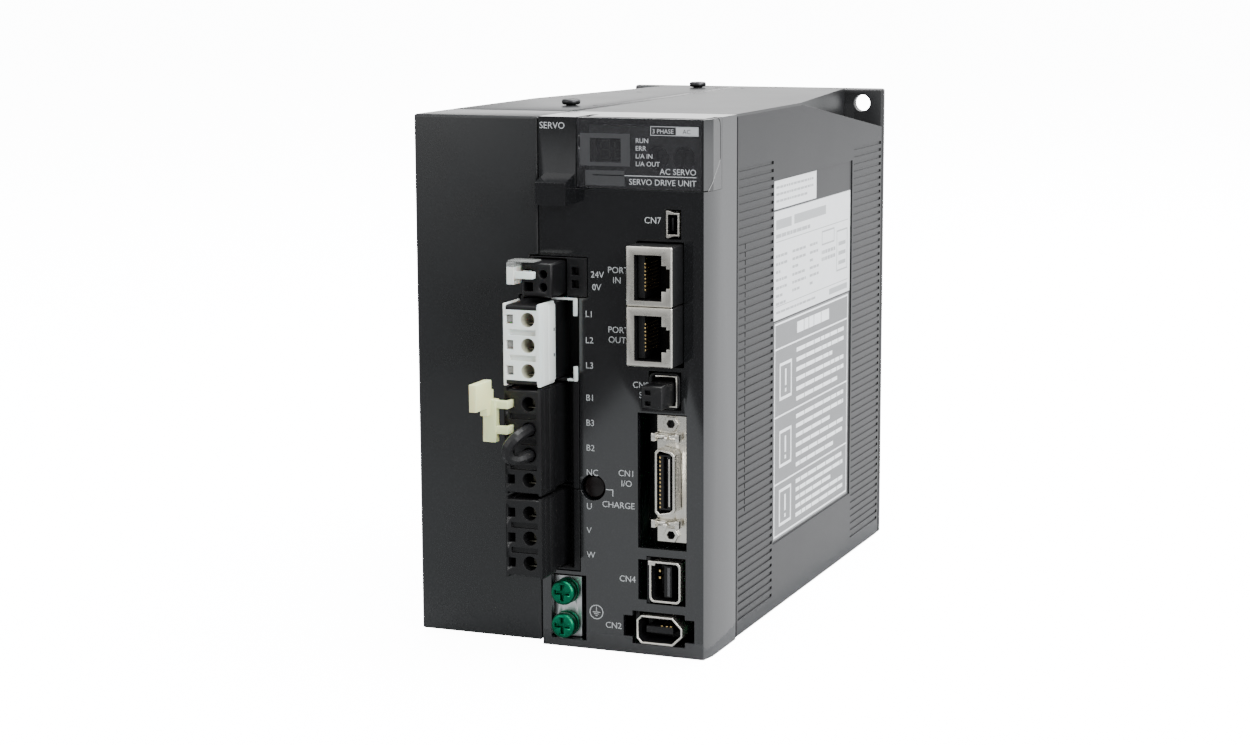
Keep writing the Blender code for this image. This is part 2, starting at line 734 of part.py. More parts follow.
def io_socket():
    plate = box((28.6, 37.3), (BRACKET_FRONT, BRACKET_FRONT + 1), (32.5, 68.2))
    for side in (-1, 1):
        cut(plate, rod("y", (32.9, IO_CENTRE + side * IO_SCREW_REACH), 1.3, (0, 5), 20))
    part("io_bracket", "nickel", plate)
    half = IO_SHELL_HALF
    ends = (IO_SHELL_FRONT, BRACKET_FRONT - GAP)
    shell = outline("y", d_outline((30.0, 35.8), (IO_CENTRE - half, IO_CENTRE + half), 0.7), ends)
    pocket = d_outline((30.6, 35.2), (IO_CENTRE - half + 0.6, IO_CENTRE + half - 0.6), 0.6)
    cut(shell, outline("y", pocket, (-5, 0.9)))
    part("io_shell", "nickel", shell)
    core = box((31.0, 34.5), (-2.9, 0.6), (IO_CENTRE - 7.7, IO_CENTRE + 7.7))
    cut(core, box((32.3, 33.5), (-4, -0.4), (IO_CENTRE - 7.3, IO_CENTRE + 7.3)))
    part("io_insulator", "black_plastic", core)
    for name, side in (("upper", 1), ("lower", -1)):
        z = IO_CENTRE + side * IO_BAIL_REACH
        bail = rod("x", (0.7, z), 0.85, (28.0, 36.0), 16)
        join(bail, rod("y", (32.4, z), 0.7, (-2.6, 0.9), 12))
        part(f"io_bail_{name}", "nickel", bail)


def encoder_sockets():
    """The external encoder socket above, and the motor encoder socket with a pointed side below."""
    shell = outline("y", rounded((27.3, 36.6), (15.6, 27.4), 1.4), (ENCODER_FRONT, 10))
    cut(shell, outline("y", rounded((27.9, 36.0), (16.2, 26.8), 1.0), (-3, 7)))
    part("external_encoder_shell", "nickel", shell)
    part("external_encoder_core", "black_plastic", box((31.4, 33.6), (0, 6.7), (17.0, 26.0)))
    shell = outline("y", MOTOR_ENCODER_OUTER, (ENCODER_FRONT, 10))
    cut(shell, outline("y", MOTOR_ENCODER_INNER, (-3, 7)))
    part("motor_encoder_shell", "nickel", shell)
    part("motor_encoder_core", "black_plastic", box((26.0, 34.0), (0, 6.7), (6.6, 8.4)))


# Earth terminal and lamp


def earth_terminal():
    plate = box((-3.6, 5.2), (EARTH_PLATE_FRONT, EARTH_PLATE_FRONT + 1.2), (2.4, 19.9))
    join(plate, box((4.0, 5.2), (EARTH_PLATE_FRONT, 26), (2.4, 19.9)))
    for z in EARTH_ROWS:
        cut(plate, rod("y", (EARTH_X, z), 2.3, (0, 6), 20))
    part("earth_plate", "zinc_plate", plate)
    back = EARTH_PLATE_FRONT - GAP
    for number, z in enumerate(EARTH_ROWS, 1):
        centre = (EARTH_X, z)
        washer = rod("y", centre, EARTH_HEAD_RADIUS + 0.1, (back - EARTH_WASHER_THICKNESS, back), 28)
        cut(washer, rod("y", centre, 2.3, (0, 5), 20))
        part(f"earth_washer_{number}", "green_screw", washer, (EARTH_X, 0, z))
        behind = back - EARTH_WASHER_THICKNESS - GAP
        head = soften(rod("y", centre, EARTH_HEAD_RADIUS, (EARTH_HEAD_FRONT, behind), 28), 1.0, 3)
        join(head, rod("y", centre, 1.95, (0, 11), 16))
        for turn in range(2):
            reach = (2.3, 0.5) if turn else (0.5, 2.3)
            x = (EARTH_X - reach[0], EARTH_X + reach[0])
            slot = (EARTH_HEAD_FRONT - 1, EARTH_HEAD_FRONT + 1.6)
            cut(head, box(x, slot, (z - reach[1], z + reach[1])))
        part(f"earth_screw_{number}", "green_screw", head, (EARTH_X, 0, z))


def charge_lamp():
    return part("charge_lamp", "lamp_lens", soften(rod("y", LAMP, LAMP_RADIUS, (1.2, 9), 28), 0.5, 2))


# Inside


def heat_sink():
    sink = box((-3.2, 0), (30, CASE_REAR - GAP), (6, 146))
    for n in range(13):
        y = 34 + 10.8 * n
        join(sink, box((-40, -2), (y, y + 1.8), (20, 133)))
    return part("heat_sink", "aluminium", sink)


def electronics():
    module = soften(box((GAP, 8), (55, 125), (35, 100)), 1.0)
    part("power_module", "black_plastic", module)
    part("power_board", "circuit_board", box((11, 12.6), (28, 165), (5, 145)))
    part("control_board", "circuit_board", box((38.6, 40.2), (6, 118), (4, 134)))
    for number, z in enumerate((24, 58, 92), 1):
        can = soften(rod("x", (145, z), 14.5, (12.9, 37.5), 28), 1.0, 2)
        part(f"bus_capacitor_{number}", "capacitor_sleeve", can)
    leg = ((16, 34), (80, 90))
    core = box(leg[0], (70, 100), (50, 56))
    join(core, box(leg[0], (70, 100), (74, 80)), box(*leg, (50, 80)))
    part("transformer_core", "black_screw", core)
    coil = soften(box((13, 37), (73, 97), (56.3, 73.7)), 1.5, 2)
    cut(coil, box((15.7, 34.3), (79.7, 90.3), (50, 80)))
    part("transformer_coil", "amber_tape", coil)


def fan():
    low, high = FAN_HEIGHTS
    centre = (FAN_X, FAN_Y)
    sides = ((FAN_X - FAN_HALF, FAN_X + FAN_HALF), (FAN_Y - FAN_HALF, FAN_Y + FAN_HALF))
    frame = soften(box(*sides, (low, high)), 1.0)
    cut(frame, rod("z", centre, FAN_BORE, (low - 1, high + 1), 40))
    join(frame, rod("z", centre, FAN_HUB_RADIUS, (low, low + 1.4), 24))
    for reach in ((FAN_BORE + 0.6, 0.8), (0.8, FAN_BORE + 0.6)):
        x = (FAN_X - reach[0], FAN_X + reach[0])
        join(frame, box(x, (FAN_Y - reach[1], FAN_Y + reach[1]), (low, low + 1.4)))
    part("fan_frame", "black_plastic", frame)
    rotor = soften(rod("z", centre, FAN_HUB_RADIUS, (low + 2.0, high - 1.5), 24), 0.6, 2)
    hub = placed(FAN_X, FAN_Y, (low + high) / 2)
    for n in range(FAN_BLADES):
        out = (FAN_X + FAN_HUB_RADIUS - 1, FAN_X + FAN_BORE - 0.8)
        blade = box(out, (FAN_Y - 0.5, FAN_Y + 0.5), (low + 2.6, high - 2.2))
        turn = Matrix.Rotation(2 * pi * n / FAN_BLADES, 4, "Z")
        tilt = Matrix.Rotation(radians(FAN_BLADE_TILT), 4, "X")
        blade.data.transform(Matrix.Translation(hub) @ turn @ tilt @ Matrix.Translation(-hub))
        join(rotor, blade)
    part("fan_rotor", "black_plastic", rotor, (FAN_X, FAN_Y, low))


back_plate()
right_case()
left_case()
case_screws()
front_cover()
left_panel()
display_cover()
display_panel()
display_module()
dials()
power_terminals()
jumper_wire()
regen_lever()
supply_terminal()
network_sockets()
usb_socket()
safety_socket()
io_socket()
encoder_sockets()
earth_terminal()
charge_lamp()
heat_sink()
electronics()
fan()
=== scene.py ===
"""The looks of an AC servo drive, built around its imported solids.

Lengths are in millimetres, measured as in the solids: x to the right, y back from the front face and
z up from the base. The functions at() and mm() turn them into metres in the shared frame.
"""

import json
from math import cos, pi, radians, sin

import bmesh
import bpy
from mathutils import Matrix, Vector


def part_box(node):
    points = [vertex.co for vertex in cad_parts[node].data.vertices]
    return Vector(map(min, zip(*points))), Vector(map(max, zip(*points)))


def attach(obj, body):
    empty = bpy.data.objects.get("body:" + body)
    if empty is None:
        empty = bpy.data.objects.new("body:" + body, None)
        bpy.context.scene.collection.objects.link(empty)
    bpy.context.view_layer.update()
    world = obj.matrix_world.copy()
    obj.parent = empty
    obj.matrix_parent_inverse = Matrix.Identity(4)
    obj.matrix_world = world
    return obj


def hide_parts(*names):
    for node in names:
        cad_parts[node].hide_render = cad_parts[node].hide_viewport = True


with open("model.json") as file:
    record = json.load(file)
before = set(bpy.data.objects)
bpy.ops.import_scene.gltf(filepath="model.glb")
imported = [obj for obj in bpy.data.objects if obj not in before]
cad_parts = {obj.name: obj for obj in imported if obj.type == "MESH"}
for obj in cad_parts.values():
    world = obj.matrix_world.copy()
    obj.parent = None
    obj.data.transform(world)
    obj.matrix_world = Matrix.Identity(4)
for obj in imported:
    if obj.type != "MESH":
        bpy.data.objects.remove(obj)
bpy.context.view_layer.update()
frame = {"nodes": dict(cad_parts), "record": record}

RECORD = frame["record"]
BODY_OF = {node: body for body, nodes in RECORD["behaviour"]["bodies"].items() for node in nodes}
SLOT_OF = {entry["node"]: entry["material_slot"] for entry in RECORD["subparts"]}
MM = 0.001
WELD = 1e-6
CUT_WELD = 1e-7
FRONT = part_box("left_panel")[0].y
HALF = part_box("back_plate")[1].x / MM


def at(x, y, z):
    return Vector((x * MM, FRONT + y * MM, z * MM))


def span(node):
    """A node's lowest and highest corner in millimetres from the front face."""
    low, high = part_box(node)
    shift = Vector((0, FRONT, 0))
    return (low - shift) / MM, (high - shift) / MM


# Camera, floor and lights

EYE = (277.1, -639.2, 193.2)
AZIMUTH = radians(21.92)
ELEVATION = radians(9.34)
ROLL = radians(-0.25)
LENS = 72.78
SENSOR = 36

COOL_WHITE = (0.97, 0.985, 1.0)
FLOOR_GREY = (0.8, 0.82, 0.84)
SKY_LEVEL = 0.85
FLOOR_LEVEL = 13
BACKDROP_LEVEL = 2.4
SIDE_LEVEL = 1.55
NEAR_LEVEL = 0.8
ROOM_RADIUS = 28


def camera():
    back = Vector((sin(AZIMUTH) * cos(ELEVATION), -cos(AZIMUTH) * cos(ELEVATION), sin(ELEVATION)))
    right = Vector((cos(AZIMUTH), sin(AZIMUTH), 0))
    up = back.cross(right)
    turned = cos(ROLL) * right + sin(ROLL) * up, cos(ROLL) * up - sin(ROLL) * right, back
    data = bpy.data.cameras.new("camera")
    data.lens = LENS
    data.sensor_width = SENSOR
    obj = bpy.data.objects.new("camera", data)
    obj.matrix_world = Matrix.Translation(at(*EYE)) @ Matrix(turned).transposed().to_4x4()
    bpy.context.collection.objects.link(obj)
    bpy.context.scene.camera = obj


def softbox(name, place, target, size, power):
    data = bpy.data.lights.new(name, "AREA")
    data.shape = "RECTANGLE"
    data.size, data.size_y = size
    data.energy = power
    obj = bpy.data.objects.new(name, data)
    obj.location = at(*place)
    obj.rotation_euler = (at(*target) - obj.location).to_track_quat("-Z", "Y").to_euler()
    bpy.context.collection.objects.link(obj)


def studio():
    world = bpy.data.worlds.new("studio")
    world.use_nodes = True
    background = world.node_tree.nodes["Background"]
    background.inputs["Color"].default_value = (*COOL_WHITE, 1)
    background.inputs["Strength"].default_value = SKY_LEVEL
    bpy.context.scene.world = world
    white = Paint("white_floor", FLOOR_GREY, 0.7, emission_strength=FLOOR_LEVEL)
    white.feed("Emission Color", white.blend(white.noise(900, 2), COOL_WHITE, (1.0, 1.0, 1.0)))
    white.material.cycles.emission_sampling = "NONE"
    floor = stage_sheet("floor", (60000, 60000), (0, 0, -0.2), white)
    for obj in (floor, stage_dome("surround", ROOM_RADIUS, white)):
        obj.visible_diffuse = obj.visible_glossy = obj.visible_transmission = False
    grey = Paint("floor_bounce", FLOOR_GREY, 0.8)
    bounce = stage_sheet("floor_bounce", (6000, 6000), (0, 0, -0.6), grey)
    bounce.visible_camera = bounce.visible_shadow = False
    dark = Paint("dark_card", (0.012, 0.012, 0.013), 0.95)
    card = stage_sheet("dark_card", (2600, 2600), (0, -0.312 - 1.3, -0.1), dark)
    backdrop = Paint("backdrop", (0, 0, 0), 1.0, emission_strength=BACKDROP_LEVEL)
    backdrop.set("Emission Color", (1, 1, 1, 1))
    glow = stage_sheet("backdrop", (7000, 800), (0.6, 3.4, 0.62), backdrop, 90)
    right = Paint("side_paper", (0, 0, 0), 1.0, emission_strength=SIDE_LEVEL)
    right.set("Emission Color", (0.97, 0.98, 1, 1))
    side = stage_sheet("side_paper", (1500, 2700), (0.80, 1.36, -0.1), right)
    near = Paint("near_paper", (0, 0, 0), 1.0, emission_strength=NEAR_LEVEL)
    near.set("Emission Color", (0.93, 0.97, 1, 1))
    paper = stage_sheet("near_paper", (2600, 296), (0, -0.164, -0.1), near)
    for obj in (card, glow, side, paper):
        obj.visible_camera = obj.visible_diffuse = obj.visible_shadow = False
    softbox("overhead", (420, 520, 1350), (320, 420, 0), (1.7, 1.7), 125)
    softbox("right_front", (1700, -1000, 900), (44, 90, 70), (1.1, 1.1), 48)
    softbox("front_left", (-1100, -1300, 1000), (0, 0, 70), (1.0, 1.2), 10)


def staged(name, bm, look):
    mesh = bpy.data.meshes.new(name)
    bm.to_mesh(mesh)
    bm.free()
    obj = bpy.data.objects.new(name, mesh)
    obj.data.materials.append(look.material)
    bpy.context.collection.objects.link(obj)
    return obj


def stage_sheet(name, size, place, look, tilt=0):
    """A flat sheet of the set: size in millimetres, x and y of place in metres from the front face's middle.

    The height is in millimetres for a level sheet and in metres for a tilted one.
    """
    bm = bmesh.new()
    bmesh.ops.create_grid(bm, x_segments=1, y_segments=1, size=0.5)
    turn = Matrix.Rotation(radians(tilt), 4, "X")
    low = Vector((place[0], FRONT + place[1], place[2] if tilt else place[2] * MM))
    bm.transform(Matrix.Translation(low) @ turn @ Matrix.Diagonal((size[0] * MM, size[1] * MM, 1, 1)))
    return staged(name, bm, look)


def stage_dome(name, radius, look):
    """The white room round the set, radius in metres."""
    bm = bmesh.new()
    bmesh.ops.create_uvsphere(bm, u_segments=48, v_segments=24, radius=radius)
    bmesh.ops.reverse_faces(bm, faces=bm.faces)
    return staged(name, bm, look)


# Shader arithmetic


class Value:
    """A socket of a material that can be used in sums."""

    def __init__(self, paint, socket):
        self.paint = paint
        self.socket = socket

    def maths(self, operation, *values):
        return self.paint.node("ShaderNodeMath", {"operation": operation}, dict(enumerate(values)))

    def __add__(self, other):
        return self.maths("ADD", self, other)

    def __radd__(self, other):
        return self.maths("ADD", other, self)

    def __mul__(self, other):
        return self.maths("MULTIPLY", self, other)

    def __rmul__(self, other):
        return self.maths("MULTIPLY", other, self)


class Paint:
    """A material whose shader's constants are set here and whose varying inputs are added by name."""

    def __init__(self, name, colour, roughness, metallic=0.0, **constants):
        self.material = bpy.data.materials.new(name)
        self.material.use_nodes = True
        self.tree = self.material.node_tree
        self.shader = self.tree.nodes["Principled BSDF"]
        self.colour = colour
        self.set("Base Color", (*colour, 1))
        self.set("Roughness", roughness)
        self.set("Metallic", metallic)
        for key, value in constants.items():
            self.set(key.replace("_", " ").title().replace("Ior", "IOR"), value)
        self.place = self.node("ShaderNodeTexCoord", {}, {}, "Object")

    def set(self, name, value):
        self.shader.inputs[name].default_value = value

    def node(self, kind, settings, values, output=None):
        """One node: its settings, then the values or links of its inputs; gives the named or first output."""
        made = self.tree.nodes.new(kind)
        for key, value in settings.items():
            setattr(made, key, value)
        for key, value in values.items():
            socket = made.inputs[key] if isinstance(key, int) else self.find(made.inputs, key)
            if isinstance(value, Value):
                self.tree.links.new(value.socket, socket)
            else:
                socket.default_value = value
        return Value(self, self.find(made.outputs, output))

    def find(self, sockets, name):
        return next(socket for socket in sockets if socket.enabled and name in (None, socket.name))

    def feed(self, name, value):
        self.tree.links.new(value.socket, self.shader.inputs[name])
        return self

    def noise(self, size, detail=2.0, stretch=(1, 1, 1)):
        """Noise with features of about this size in millimetres, drawn out along an axis where stretched."""
        scale = [1 / (size * MM * s) for s in stretch]
        place = self.node("ShaderNodeMapping", {}, {"Vector": self.place, "Scale": scale})
        return self.node("ShaderNodeTexNoise", {}, {"Vector": place, "Scale": 1.0, "Detail": detail}, "Fac")

    def blend(self, mask, low, high):
        ends = {"Factor": mask}
        for key, colour in (("A", low), ("B", high)):
            ends[key] = colour if isinstance(colour, Value) else (*colour, 1)
        return self.node("ShaderNodeMix", {"data_type": "RGBA"}, ends, "Result")

    def bump(self, height, depth):
        """A bump of this depth in millimetres for heights from 0 to 1."""
        made = self.node("ShaderNodeBump", {}, {"Height": height, "Distance": depth * MM, "Strength": 1.0})
        return self.feed("Normal", made)


def shade(colour, amount):
    return tuple(min(1.0, channel * amount) for channel in colour)


# Finishes


def moulded(name, colour, roughness, grain=0.35, depth=0.004, **constants):
    """Moulded plastic: a spark-eroded grain, slight flow marks and a faint unevenness of colour."""
    paint = Paint(name, colour, roughness, **constants)
    fine = paint.noise(grain, 3)
    broad = paint.noise(22, 2)
    paint.feed("Base Color", paint.blend(broad, shade(colour, 0.88), shade(colour, 1.14)))
    paint.feed("Roughness", roughness - 0.05 + 0.06 * fine + 0.05 * broad)
    return paint.bump(fine, depth)


def plated(name, colour, roughness, grain=0.5, stretch=(1, 1, 1), **constants):
    """Plated sheet metal with fine rolling lines and cloudy dull patches."""
    paint = Paint(name, colour, roughness, 1.0, **constants)
    lines = paint.noise(grain, 3, stretch)
    clouds = paint.noise(6, 3)
    paint.feed("Base Color", paint.blend(clouds, shade(colour, 0.94), shade(colour, 1.05)))
    paint.feed("Roughness", roughness - 0.06 + 0.08 * lines + 0.06 * clouds)
    return paint.bump(lines, 0.0012)


FINISHES = {
    "black_housing": moulded(
        "black_housing", (0.0055, 0.0058, 0.0064), 0.09, 0.8, 0.0003, specular_ior_level=0.95
    ),
    "grey_black_case": moulded(
        "grey_black_case", (0.0105, 0.0109, 0.0116), 0.29, 0.4, 0.0015, specular_ior_level=0.2
    ),
    "black_plastic": moulded(
        "black_plastic", (0.0045, 0.0045, 0.005), 0.4, 0.3, 0.002, specular_ior_level=0.32
    ),
    "display_grey": moulded("display_grey", (0.10, 0.103, 0.107), 0.5, 6.0, 0.0005),
    "white_plastic": moulded(
        "white_plastic", (0.72, 0.74, 0.70), 0.42, 0.4, 0.003, subsurface_weight=0.15
    ),
    "cream_plastic": moulded(
        "cream_plastic", (0.66, 0.655, 0.34), 0.4, 0.4, 0.003, subsurface_weight=0.2
    ),
    "nickel": plated("nickel", (0.76, 0.735, 0.67), 0.27, 0.5, (6, 1, 1)),
    "zinc_plate": plated("zinc_plate", (0.66, 0.67, 0.67), 0.34, 0.3, (8, 1, 1)),
    "green_screw": plated("green_screw", (0.006, 0.15, 0.075), 0.4, 0.4),
    "black_screw": plated("black_screw", (0.05, 0.05, 0.052), 0.4, 0.3),
    "die_cast": moulded("die_cast", (0.016, 0.0162, 0.017), 0.32, 0.5, 0.004),
    "aluminium": plated("aluminium", (0.72, 0.73, 0.75), 0.36, 0.3, (1, 1, 12)),
    "circuit_board": moulded("circuit_board", (0.015, 0.12, 0.05), 0.35, 1.2, 0.01),
    "capacitor_sleeve": moulded("capacitor_sleeve", (0.02, 0.03, 0.07), 0.3, 0.8, 0.004),
    "amber_tape": moulded("amber_tape", (0.62, 0.36, 0.05), 0.35, 1.0, 0.006),
    "lamp_lens": moulded(
        "lamp_lens", (0.004, 0.0018, 0.0017), 0.3, 2.0, 0.002, specular_ior_level=0.3
    ),
}

GREY_PUSHER = moulded("grey_pusher", (0.20, 0.20, 0.19), 0.45, 0.3, 0.003)
# Spring-clamp metal darkened to dull olive as painted shade deep inside the wire holes.
CLAMP_METAL_PAINTED_SHADE = plated("clamp_metal_painted_shade", (0.16, 0.155, 0.12), 0.4, 0.4)
# Olive-grey for the white plug's wire-hole walls: painted shade, darker than the white plastic.
HOLE_WALL_PAINTED_SHADE = moulded("hole_wall_painted_shade", (0.42, 0.42, 0.33), 0.45, 0.4, 0.003)
GREY_KEY = moulded("grey_key", (0.05, 0.05, 0.052), 0.5, 0.4, 0.003)
WHITE_LEVER = moulded("white_lever", (0.66, 0.67, 0.62), 0.4, 0.4, 0.003, subsurface_weight=0.2)
SATIN_PANEL = moulded("satin_panel", (0.0068, 0.0072, 0.0078), 0.28, 0.5, 0.002)


def smoked():
    """Smoked clear plastic: mostly see-through, with a glossy face and a little haze."""
    paint = Paint("smoked_clear", (0.03, 0.03, 0.032), 0.06)
    haze = paint.noise(15, 2)
    paint.feed("Alpha", 0.5 + 0.06 * haze)
    paint.feed("Roughness", 0.05 + 0.05 * haze)
    return paint


def frosted():
    """Milky plastic that lets some light through."""
    paint = Paint("frosted", (0.30, 0.31, 0.30), 0.3)
    haze = paint.noise(2, 2)
    paint.feed("Alpha", 0.4 + 0.15 * haze)
    paint.feed("Roughness", 0.22 + 0.12 * haze)
    return paint


FINISHES["smoked_clear"] = smoked()
FROSTED = frosted()


# Making pieces

SMOOTH_ANGLE = radians(35)
CORNER_ANGLE = radians(40)
FLAT_ANGLE = radians(0.3)
VOLUME_SLACK = 1e-4


def keep(name, bm, look, body, replaces=()):
    """Turns a bmesh, in metres in the shared frame, into a finished piece."""
    mesh = bpy.data.meshes.new(name)
    bm.to_mesh(mesh)
    bm.free()
    return settle(bpy.data.objects.new(name, mesh), look, body, replaces)


def settle(obj, look, body, replaces=()):
    """Links an object and gives it its finish or finishes, smooth faces, body and slot."""
    bpy.context.collection.objects.link(obj)
    for paint in look if isinstance(look, (list, tuple)) else [look]:
        obj.data.materials.append(paint.material)
    obj.data.shade_smooth()
    obj.data.set_sharp_from_angle(angle=SMOOTH_ANGLE)
    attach(obj, body)
    if replaces:
        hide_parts(*replaces)
    return obj


def merged(node):
    """A bmesh copy of a node's solid with its loose triangles joined.

    Its flat faces get fresh triangles, unless that opens the solid or changes its volume.
    """
    bm = bmesh.new()
    bm.from_mesh(frame["nodes"][node].data)
    bmesh.ops.remove_doubles(bm, verts=bm.verts, dist=WELD)
    tidied = bm.copy()
    bmesh.ops.dissolve_limit(tidied, angle_limit=FLAT_ANGLE, verts=tidied.verts, edges=tidied.edges)
    bmesh.ops.triangulate(tidied, faces=tidied.faces, quad_method="BEAUTY", ngon_method="BEAUTY")
    same = abs(tidied.calc_volume() / bm.calc_volume() - 1) < VOLUME_SLACK
    if same and all(edge.is_manifold for edge in tidied.edges):
        bm.free()
        return tidied
    tidied.free()
    return bm


def sliced(node, cuts):
    """A merged copy of a node with extra edges where it crosses planes: axis number, millimetres."""
    bm = merged(node)
    for axis, value in cuts:
        place = at(*(value if n == axis else 0 for n in range(3)))
        normal = [n == axis for n in range(3)]
        geom = bm.verts[:] + bm.edges[:] + bm.faces[:]
        bmesh.ops.bisect_plane(bm, geom=geom, plane_co=place, plane_no=normal, dist=CUT_WELD)
    return bm


def edges_over(bm, angle):
    return [edge for edge in bm.edges if edge.is_manifold and edge.calc_face_angle() > angle]


def rounded(bm, edges, width, segments):
    bmesh.ops.bevel(
        bm,
        geom=edges,
        offset=width * MM,
        segments=segments,
        profile=0.5,
        affect="EDGES",
        material=-1,
        clamp_overlap=True,
    )


def fine_copy(node, width, cuts=(), extra=(), chosen=None):
    """Stands for a node: the same solid with rounded edges. chosen(place, normal) gives a face's finish."""
    slot = SLOT_OF[node]
    bm = sliced(node, cuts)
    if chosen:
        for face in bm.faces:
            place = (face.calc_center_median() - Vector((0, FRONT, 0))) / MM
            face.material_index = int(chosen(place, face.normal))
    if node in CRISP:
        rounded(bm, edges_over(bm, CORNER_ANGLE), width, 3)
    obj = keep(node + "_fine", bm, [FINISHES[slot], *extra], BODY_OF[node], [node])
    if node in CRISP:
        obj.data.set_sharp_from_angle(angle=radians(CRISP[node]))
        return obj
    return soften(obj, width)


def carry_over(node):
    """Shows a node's own mesh in its slot's finish."""
    obj = frame["nodes"][node]
    obj.data.materials.clear()
    obj.data.materials.append(FINISHES[SLOT_OF[node]].material)


CAP_SHARE = 0.7
INK_HALF = 0.015


def lettering(name, text, place, height, look, body="drive", anchor="LEFT"):
    """Thin printed letters of this cap height, upright and facing forwards."""
    curve = bpy.data.curves.new(name, "FONT")
    curve.body = text
    curve.align_x = anchor
    curve.size = height * MM / CAP_SHARE
    curve.extrude = INK_HALF * MM
    curve.resolution_u = 3
    obj = bpy.data.objects.new(name, curve)
    bpy.context.collection.objects.link(obj)
    bpy.context.view_layer.update()
    mesh = bpy.data.meshes.new_from_object(obj.evaluated_get(bpy.context.evaluated_depsgraph_get()))
    bpy.data.objects.remove(obj)
    mesh.transform(Matrix.Translation(at(*place)) @ Matrix.Rotation(radians(90), 4, "X"))
    return settle(bpy.data.objects.new(name, mesh), look, body)


# Shapes


def block(bm, x, y, z):
    """Adds a block between the two values of each of x, y and z."""
    made = bmesh.ops.create_cube(bm, size=1)["verts"]
    size = Matrix.Diagonal(((x[1] - x[0]) * MM, (y[1] - y[0]) * MM, (z[1] - z[0]) * MM, 1))
    middle = Matrix.Translation(at(sum(x) / 2, sum(y) / 2, sum(z) / 2))
    bmesh.ops.transform(bm, matrix=middle @ size, verts=made)


def drum(bm, axis, centre, radii, ends, sides=24):
    """Adds a cylinder or a cone along axis between two values; centre holds the other two values."""
    places = [list(centre), list(centre)]
    for place, value in zip(places, ends):
        place.insert("xyz".index(axis), value)
    low, high = at(*places[0]), at(*places[1])
    turn = (high - low).to_track_quat("Z", "Y").to_matrix().to_4x4()
    bmesh.ops.create_cone(
        bm,
        cap_ends=True,
        segments=sides,
        radius1=radii[0] * MM,
        radius2=radii[1] * MM,
        depth=(high - low).length,
        matrix=Matrix.Translation((low + high) / 2) @ turn,
    )


def ring(bm, centre, profile, steps=32):
    """Spins a closed outline of radius and y once round a line that runs back through centre."""
    x, z = centre
    verts = [bm.verts.new(at(x + radius, y, z)) for radius, y in profile]
    edges = [bm.edges.new(pair) for pair in zip(verts, verts[1:] + verts[:1])]
    bmesh.ops.spin(
        bm, geom=verts + edges, cent=at(x, 0, z), axis=(0, 1, 0), angle=2 * pi, steps=steps, use_merge=True
    )


def polished(bm, width, segments=2):
    """Rounds every sharp edge of the shapes made so far."""
    rounded(bm, edges_over(bm, radians(30)), width, segments)


def outward(bm):
    """Joins doubled points and turns every face outwards."""
    bmesh.ops.remove_doubles(bm, verts=bm.verts, dist=WELD)
    bmesh.ops.recalc_face_normals(bm, faces=bm.faces)


def bars(name, boxes, width, look, body):
    """One piece made of several rounded bars."""
    bm = bmesh.new()
    for x, y, z in boxes:
        block(bm, x, y, z)
    polished(bm, width)
    keep(name, bm, look, body)


# Casing

# Nodes whose edges are cut into the mesh, with the angle in degrees over which an edge stays sharp.
CRISP = {
    "back_plate": 12,
    "left_case": 9,
    "left_panel": 9,
    "front_cover": 9,
    "display_cover": 9,
    "display_panel": 12,
    "mains_plug": 32,
    "regen_plug": 32,
    "motor_plug": 32,
    "network_in_shield": 12,
    "network_out_shield": 12,
    "regen_lever": 32,
}

RIB_PITCH = 2.3
RIB_GAP = 0.95
RIB_DEPTH = 0.34
RIB_CHAMFER = 0.14
RIB_SHARP = radians(6)
LONG_EDGE = 12
RIB_BANDS = ((25.8, 56.2, 5.0, 137.0), (136.4, 167.2, 5.5, 136.0))
SLIT = (31.1, 31.7, 36.0, 114.0)


def ribbed_case():
    """The right half with its two bands of level ribs and the slit that crosses the front band."""
    bm = merged("right_case")
    grooves = [SLIT]
    for front, rear, low, high in RIB_BANDS:
        for n in range(int((high - low) / RIB_PITCH)):
            z = low + n * RIB_PITCH
            grooves.append((front, rear, z, z + RIB_GAP))

    def side():
        edge = (HALF - 0.05) * MM
        return [face for face in bm.faces if face.normal.x > 0.99 and face.calc_center_median().x > edge]

    lines = {(1, value) for groove in grooves for value in groove[:2]}
    lines |= {(2, value) for groove in grooves for value in groove[2:]}
    for axis, value in sorted(lines):
        faces = side()
        geom = faces + list({edge for face in faces for edge in face.edges})
        geom += list({vert for face in faces for vert in face.verts})
        normal = Vector((0, axis == 1, axis == 2))
        place = at(0, value, 0) if axis == 1 else at(0, 0, value)
        bmesh.ops.bisect_plane(bm, geom=geom, plane_co=place, plane_no=normal, dist=CUT_WELD)
    sunk = []
    for face in side():
        middle = face.calc_center_median()
        y, z = (middle.y - FRONT) / MM, middle.z / MM
        if any(g[0] < y < g[1] and g[2] < z < g[3] for g in grooves):
            sunk.append(face)
    made = bmesh.ops.extrude_face_region(bm, geom=sunk)["geom"]
    floor = [item for item in made if isinstance(item, bmesh.types.BMVert)]
    bmesh.ops.translate(bm, verts=floor, vec=(-RIB_DEPTH * MM, 0, 0))
    bmesh.ops.delete(bm, geom=sunk, context="FACES")
    bmesh.ops.dissolve_degenerate(bm, dist=CUT_WELD, edges=bm.edges)
    corners = [edge for edge in edges_over(bm, CORNER_ANGLE) if edge.calc_length() > LONG_EDGE * MM]
    rounded(bm, corners, RIB_CHAMFER, 1)
    look = FINISHES["grey_black_case"]
    obj = keep("right_case_ribbed", bm, look, "drive", ["right_case"])
    obj.data.set_sharp_from_angle(angle=RIB_SHARP)


def soften(obj, width):
    modifier = obj.modifiers.new("edges", "BEVEL")
    modifier.width = width * MM
    modifier.segments = 2
    modifier.limit_method = "ANGLE"
    modifier.angle_limit = CORNER_ANGLE
    modifier.harden_normals = True
    modifier.use_clamp_overlap = False
    return obj


